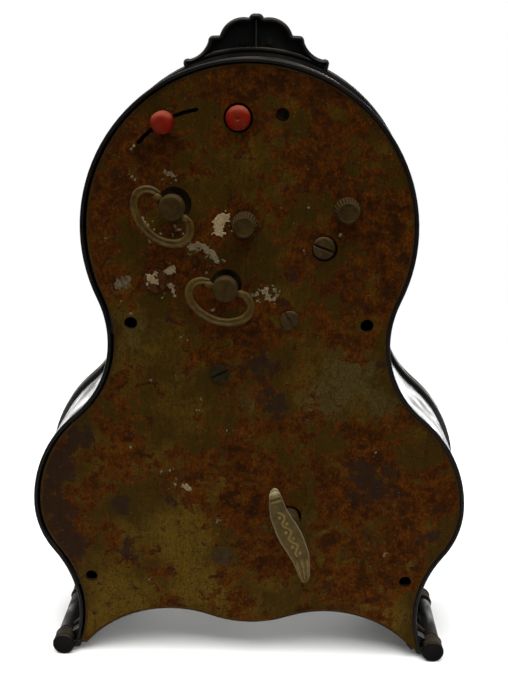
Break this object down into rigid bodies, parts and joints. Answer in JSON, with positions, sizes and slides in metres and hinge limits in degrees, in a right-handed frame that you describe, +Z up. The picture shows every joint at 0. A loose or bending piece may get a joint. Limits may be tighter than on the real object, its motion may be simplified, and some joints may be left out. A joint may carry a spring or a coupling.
{
  "type": "mechanical bank",
  "caption": "Waisted upright clock case with wind-up clock and musical movements, coin slot, chute and tray, folding winding keys, knobs, lever and push button at the back.",
  "frame": {"origin": "centre of the bounding box, at table height under the runner feet", "axes": "+Z up; the dial faces -Y, the winding side with its keys faces +Y; +X is to the right seen from the dial"},
  "size_m": [0.1746, 0.0706, 0.2569],
  "materials": {
    "lacquer": "black gloss lacquer, worn at the edges",
    "back_tin": "olive gold lacquered steel, mottled with brown rust",
    "casting": "black painted casting",
    "brass": "tarnished",
    "steel": "dull",
    "key_metal": "aged nickelled brass, dull",
    "handle_metal": "pale stamped brass, worn",
    "red_plastic": "moulded red",
    "dial_card": "cream enamel",
    "glass": "clear",
    "tin": "tinned plate",
    "hand_black": "satin black"
  },
  "bodies": {
    "case": {"case_band": "lacquer", "bottom_strip": "lacquer", "front_moulding": "lacquer", "front_panel": "lacquer", "back_plate": "back_tin", "runner_bars": "lacquer", "runner_caps": "lacquer", "runner_studs": "steel", "crest": "casting", "crest_rivets": "steel", "dial": "dial_card", "bezel": "brass", "dial_glass": "glass", "movement_rear_plate": "brass", "movement_front_plate": "brass", "movement_pillars": "brass", "movement_screws": "steel", "button_spring": "steel", "music_bedplate": "casting", "music_screw": "steel", "music_rivet": "back_tin", "barrel_bridge": "brass", "music_comb": "steel", "comb_screws": "steel", "governor_frame": "brass", "coin_slot_plate": "brass", "coin_chute": "tin", "coin_tray": "tin"},
    "centre_assembly": {"centre_arbor": "brass", "minute_hand": "hand_black", "hand_set_knob": "key_metal"},
    "minute_wheel": {"minute_wheel": "brass"},
    "hour_assembly": {"hour_wheel": "brass", "hour_hand": "hand_black"},
    "alarm_indicator": {"alarm_wheel": "brass", "alarm_hand": "brass"},
    "alarm_setting": {"alarm_set_arbor": "brass", "alarm_set_knob": "key_metal"},
    "third_wheel": {"third_wheel": "brass"},
    "escape_wheel": {"escape_wheel": "brass"},
    "pallet_fork": {"pallet_fork": "steel"},
    "balance_wheel": {"balance_wheel": "brass"},
    "time_barrel": {"time_barrel": "brass", "time_mainspring": "steel"},
    "alarm_barrel": {"alarm_barrel": "brass"},
    "time_key": {"time_key_arbor": "steel", "time_key_hub": "key_metal"},
    "time_loop": {"time_key_loop": "key_metal"},
    "alarm_key": {"alarm_key_arbor": "steel", "alarm_key_hub": "key_metal"},
    "alarm_loop": {"alarm_key_loop": "key_metal"},
    "stop_lever": {"stop_lever": "steel", "stop_lever_knob": "red_plastic"},
    "push_button": {"push_button": "red_plastic"},
    "music_key": {"music_arbor": "key_metal", "music_handle": "handle_metal"},
    "music_barrel": {"music_barrel": "brass"},
    "pinned_cylinder": {"pinned_cylinder": "brass"},
    "governor_fly": {"governor_fly": "steel"},
    "coin_trip_lever": {"coin_trip_lever": "steel"}
  },
  "joints": [
    {"name": "centre_turn", "type": "hinge", "parent": "case", "child": "centre_assembly", "pos_m": [0.0015, -0.0013, 0.182], "axis": [0, -1, 0], "continuous": true},
    {"name": "minute_wheel_turn", "type": "hinge", "parent": "case", "child": "minute_wheel", "pos_m": [0.00722, -0.0113, 0.17125], "axis": [0, -1, 0], "continuous": true},
    {"name": "hour_turn", "type": "hinge", "parent": "case", "child": "hour_assembly", "pos_m": [0.0015, -0.0213, 0.182], "axis": [0, -1, 0], "continuous": true},
    {"name": "alarm_indicator_turn", "type": "hinge", "parent": "case", "child": "alarm_indicator", "pos_m": [0.0015, -0.0213, 0.182], "axis": [0, -1, 0], "continuous": true},
    {"name": "alarm_setting_turn", "type": "hinge", "parent": "case", "child": "alarm_setting", "pos_m": [-0.036, -0.0013, 0.1875], "axis": [0, -1, 0], "continuous": true},
    {"name": "third_wheel_turn", "type": "hinge", "parent": "case", "child": "third_wheel", "pos_m": [-0.01535, 0.0037, 0.18881], "axis": [0, -1, 0], "continuous": true},
    {"name": "escape_wheel_turn", "type": "hinge", "parent": "case", "child": "escape_wheel", "pos_m": [-0.00729, 0.0037, 0.20397], "axis": [0, -1, 0], "continuous": true},
    {"name": "pallet_rock", "type": "hinge", "parent": "case", "child": "pallet_fork", "pos_m": [0.00098, 0.0037, 0.21092], "axis": [0, -1, 0], "range_deg": [-4, 4]},
    {"name": "balance_swing", "type": "hinge", "parent": "case", "child": "balance_wheel", "pos_m": [0.01306, 0.0037, 0.21415], "axis": [0, -1, 0], "range_deg": [-135, 135]},
    {"name": "time_barrel_turn", "type": "hinge", "parent": "case", "child": "time_barrel", "pos_m": [0.0273, 0.0047, 0.1894], "axis": [0, -1, 0], "continuous": true},
    {"name": "alarm_barrel_turn", "type": "hinge", "parent": "case", "child": "alarm_barrel", "pos_m": [0.0084, 0.0047, 0.1592], "axis": [0, -1, 0], "continuous": true},
    {"name": "time_key_turn", "type": "hinge", "parent": "case", "child": "time_key", "pos_m": [0.0273, 0.0187, 0.1894], "axis": [0, -1, 0], "continuous": true},
    {"name": "time_loop_fold", "type": "hinge", "parent": "time_key", "child": "time_loop", "pos_m": [0.0273, 0.0281, 0.1894], "axis": [0.7859, 0, 0.6184], "range_deg": [0, 180]},
    {"name": "alarm_key_turn", "type": "hinge", "parent": "case", "child": "alarm_key", "pos_m": [0.0084, 0.0187, 0.1592], "axis": [0, -1, 0], "continuous": true},
    {"name": "alarm_loop_fold", "type": "hinge", "parent": "alarm_key", "child": "alarm_loop", "pos_m": [0.0084, 0.0261, 0.1592], "axis": [0.9627, 0, 0.2706], "range_deg": [0, 180]},
    {"name": "stop_lever_swing", "type": "hinge", "parent": "case", "child": "stop_lever", "pos_m": [0.0132, 0.0157, 0.1879], "axis": [0, -1, 0], "range_deg": [-19.1, 19.8]},
    {"name": "button_press", "type": "slide", "parent": "case", "child": "push_button", "axis": [0, -1, 0], "range_m": [0, 0.0026], "stiffness_N_per_m": 300, "springref_m": -0.002, "deforming": ["button_spring"]},
    {"name": "music_key_turn", "type": "hinge", "parent": "case", "child": "music_key", "pos_m": [-0.0168, 0.0187, 0.0638], "axis": [0, -1, 0], "continuous": true},
    {"name": "music_barrel_turn", "type": "hinge", "parent": "case", "child": "music_barrel", "pos_m": [-0.0168, 0.0027, 0.0638], "axis": [0, -1, 0], "continuous": true},
    {"name": "cylinder_turn", "type": "hinge", "parent": "case", "child": "pinned_cylinder", "pos_m": [-0.0225, 0.0007, 0.096], "axis": [1, 0, 0], "continuous": true},
    {"name": "governor_spin", "type": "hinge", "parent": "case", "child": "governor_fly", "pos_m": [0.008, 0.0017, 0.084], "axis": [0, 0, 1], "continuous": true},
    {"name": "coin_trip", "type": "hinge", "parent": "case", "child": "coin_trip_lever", "pos_m": [0.012, -0.0128, 0.097], "axis": [1, 0, 0], "range_deg": [0, 45], "stiffness_Nm_per_rad": 0.002, "springref_deg": -28.65}
  ],
  "couplings": [
    {"joint": "time_barrel_turn", "follows": "centre_turn", "ratio": -0.11429},
    {"joint": "third_wheel_turn", "follows": "centre_turn", "ratio": -8},
    {"joint": "escape_wheel_turn", "follows": "centre_turn", "ratio": 60},
    {"joint": "minute_wheel_turn", "follows": "centre_turn", "ratio": -0.33333},
    {"joint": "hour_turn", "follows": "centre_turn", "ratio": 0.083333},
    {"joint": "alarm_indicator_turn", "follows": "alarm_setting_turn", "ratio": -0.5},
    {"joint": "cylinder_turn", "follows": "music_barrel_turn", "ratio": 2},
    {"joint": "governor_spin", "follows": "music_barrel_turn", "ratio": 24}
  ]
}
